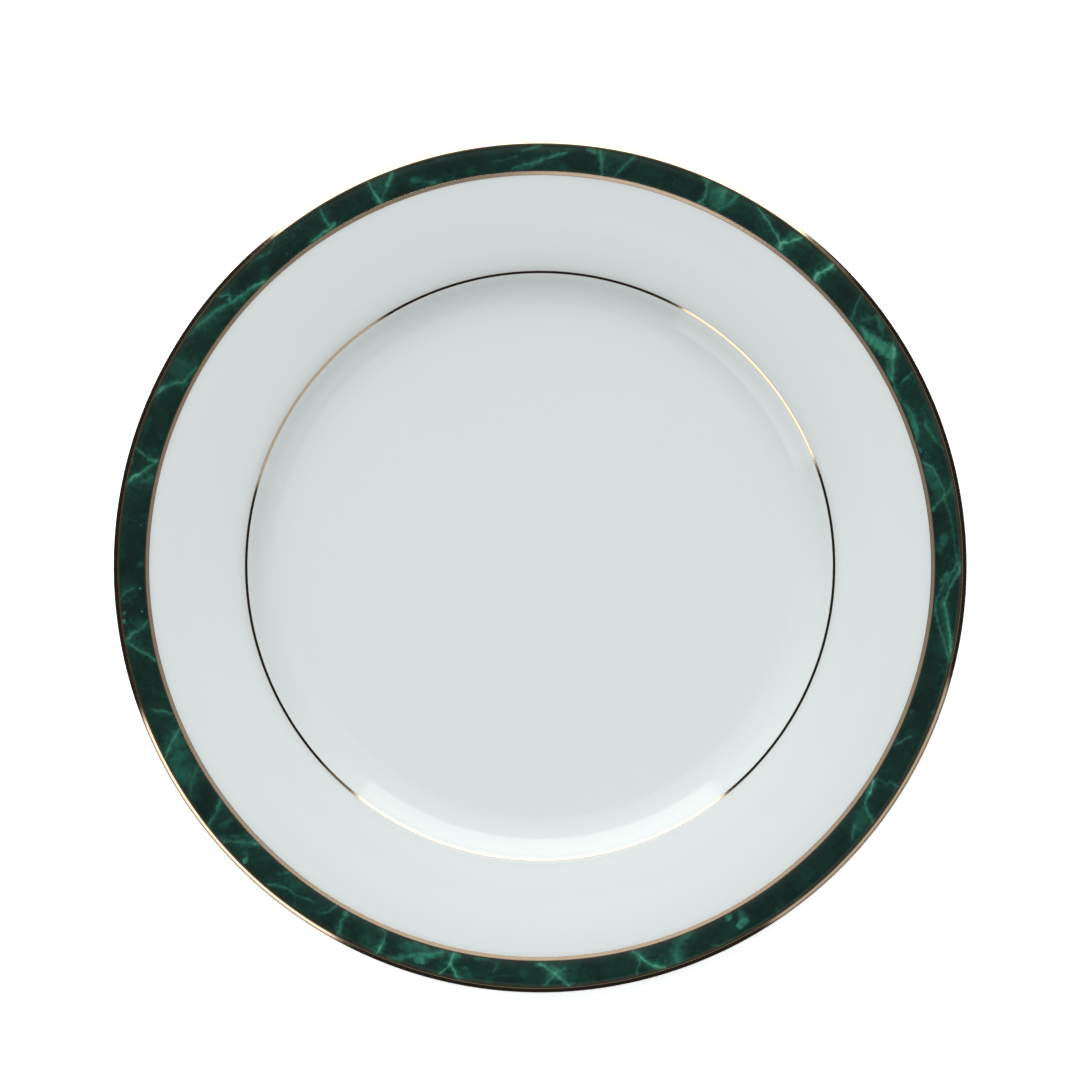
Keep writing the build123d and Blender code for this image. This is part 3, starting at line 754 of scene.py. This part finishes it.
def panel(b0, half, e0, e1, power, soft=1.4, soft_e=1.5):
    return n.math("MULTIPLY", n.math("MULTIPLY", window(turned(b0), -half, half, soft), window(elev, e0, e1, soft_e)), power)


def add_up(*v):
    total = v[0]
    for x in v[1:]:
        total = n.math("ADD", total, x)
    return total


main_panel = panel(0.0, 38.7, -5.0, 51.0, 2.25)
left_panel = panel(-131.4, 19.9, 16.0, 51.0, 1.45)
right_panel = panel(126.9, 20.2, 16.0, 52.0, 0.50)
fringe = panel(42.5, 4.5, 22.0, 48.0, 0.16, 2.0, 5.0)
# a dim soft ring overhead, round the lens
zen = n.math("SUBTRACT", 90.0, elev)
front = n.math("MAXIMUM", n.math("COSINE", n.math("MULTIPLY", turned(358.0), math.pi / 180)), 0.0)
around = add_up(n.math("MULTIPLY", n.math("POWER", front, 1.5), 0.40), n.math("MULTIPLY", window(turned(195.0), -17.0, 17.0, 6.0), 0.42), 0.23)
ring_in = n.ease(zen, n.math("SUBTRACT", 6.7, n.math("MULTIPLY", front, 4.2)), 8.5)
ring_out = n.math("MAXIMUM", n.ease(zen, 14.0, 10.2), n.math("MULTIPLY", n.ease(zen, 36.0, 14.0), n.math("MULTIPLY", front, 0.40)))
ring = n.math("MULTIPLY", n.math("MULTIPLY", ring_in, ring_out), around)
lens = n.math("MULTIPLY", n.ease(zen, 8.0, 4.0), 0.12)
veil = n.math("MAXIMUM", n.math("COSINE", n.math("MULTIPLY", turned(135.0), math.pi / 180)), 0.0)
haze = n.math("MULTIPLY", n.math("MULTIPLY", window(zen, 13.5, 28.0, 2.0), veil), 0.55)
mirror_light = n.math("ADD", add_up(main_panel, left_panel, right_panel, fringe, ring, lens, haze), 0.015)

kb, ke = math.radians(KEY_BEARING), math.radians(KEY_ELEV)
kdot = n.new("ShaderNodeVectorMath", operation="DOT_PRODUCT")
n.t.links.new(norm.outputs[0], kdot.inputs[0])
kdot.inputs[1].default_value = (math.sin(kb) * math.cos(ke), math.cos(kb) * math.cos(ke), math.sin(ke))
kfac = n.math("MAXIMUM", kdot.outputs["Value"], 0.0)
soft_light = n.math("ADD", AMBIENT, n.math("MULTIPLY", n.math("POWER", kfac, 4.0), KEY))

path = n.new("ShaderNodeLightPath")


def background(color, strength):
    b = n.new("ShaderNodeBackground")
    n.set(b.inputs[0], color)
    n.set(b.inputs[1], strength)
    return b.outputs[0]


def pick(f, a, b):
    m = n.new("ShaderNodeMixShader")
    n.set(m.inputs[0], f)
    n.t.links.new(a, m.inputs[1])
    n.t.links.new(b, m.inputs[2])
    return m.outputs[0]


seen = background(rgba(1.0, 1.0, 1.0), 1.0)
mirrored = background(rgba(1.0, 0.975, 0.93), mirror_light)
diffused = background(rgba(0.985, 1.0, 0.995), soft_light)
n.t.links.new(pick(path.outputs["Is Camera Ray"], pick(path.outputs["Is Glossy Ray"], diffused, mirrored), seen), out.inputs[0])

# the floor: pale and blown out to the lens, a plain pale card to diffuse light; in reflections it is dark but glows
# with painted light, brighter in the bearings of the main, left and right panels
bpy.ops.mesh.primitive_circle_add(vertices=128, radius=6.0, fill_type="NGON", location=(0, 0, 0))
floor = bpy.context.object
floor.name = "floor"
fm = bpy.data.materials.new("pale floor")
fm.use_nodes = True
n = Nodes(fm.node_tree)
out = n.new("ShaderNodeOutputMaterial")
path = n.new("ShaderNodeLightPath")
lit = n.new("ShaderNodeBsdfDiffuse")
lit.inputs[0].default_value = rgba(2.1, 2.1, 2.1)
plain = n.new("ShaderNodeBsdfDiffuse")
plain.inputs[0].default_value = rgba(0.82, 0.82, 0.82)
# painted reflection: glossy rays see the floor as a dim glow, brighter where it lies towards the main, left and right
# panels
dim = n.new("ShaderNodeEmission")
where = n.new("ShaderNodeSeparateXYZ")
n.t.links.new(n.new("ShaderNodeNewGeometry").outputs["Position"], where.inputs[0])
bear = n.math("MULTIPLY", n.math("ARCTAN2", where.outputs[0], where.outputs[1]), 180 / math.pi)
near_main = n.math("MULTIPLY", window(turned(0.0), -39.5, 39.5, 5.0), 1.35)
near_left = n.math("MULTIPLY", window(turned(-131.4), -19.9, 19.9, 3.0), 0.55)
near_right = n.math("MULTIPLY", window(turned(126.9), -20.2, 20.2, 3.0), 0.24)
n.set(dim.inputs[1], n.math("ADD", add_up(near_main, near_left, near_right), 0.045))
dim.inputs[0].default_value = rgba(1.0, 0.93, 0.85)
n.t.links.new(pick(path.outputs["Is Camera Ray"], pick(path.outputs["Is Glossy Ray"], plain.outputs[0], dim.outputs[0]), lit.outputs[0]), out.inputs[0])
floor.data.materials.append(fm)

# ======================================================================= camera
cam = bpy.data.cameras.new("camera")
cam_ob = bpy.data.objects.new("camera", cam)
scene.collection.objects.link(cam_ob)
cam.lens = 120.0
cam.sensor_width = 36.0
cam.clip_start, cam.clip_end = 0.05, 50.0
NOSE_Z = 0.0185
cam_ob.location = (-0.00004, 0.00822, NOSE_Z + 1.1397)
cam_ob.rotation_euler = (0.0, 0.0, 0.0)
scene.camera = cam_ob
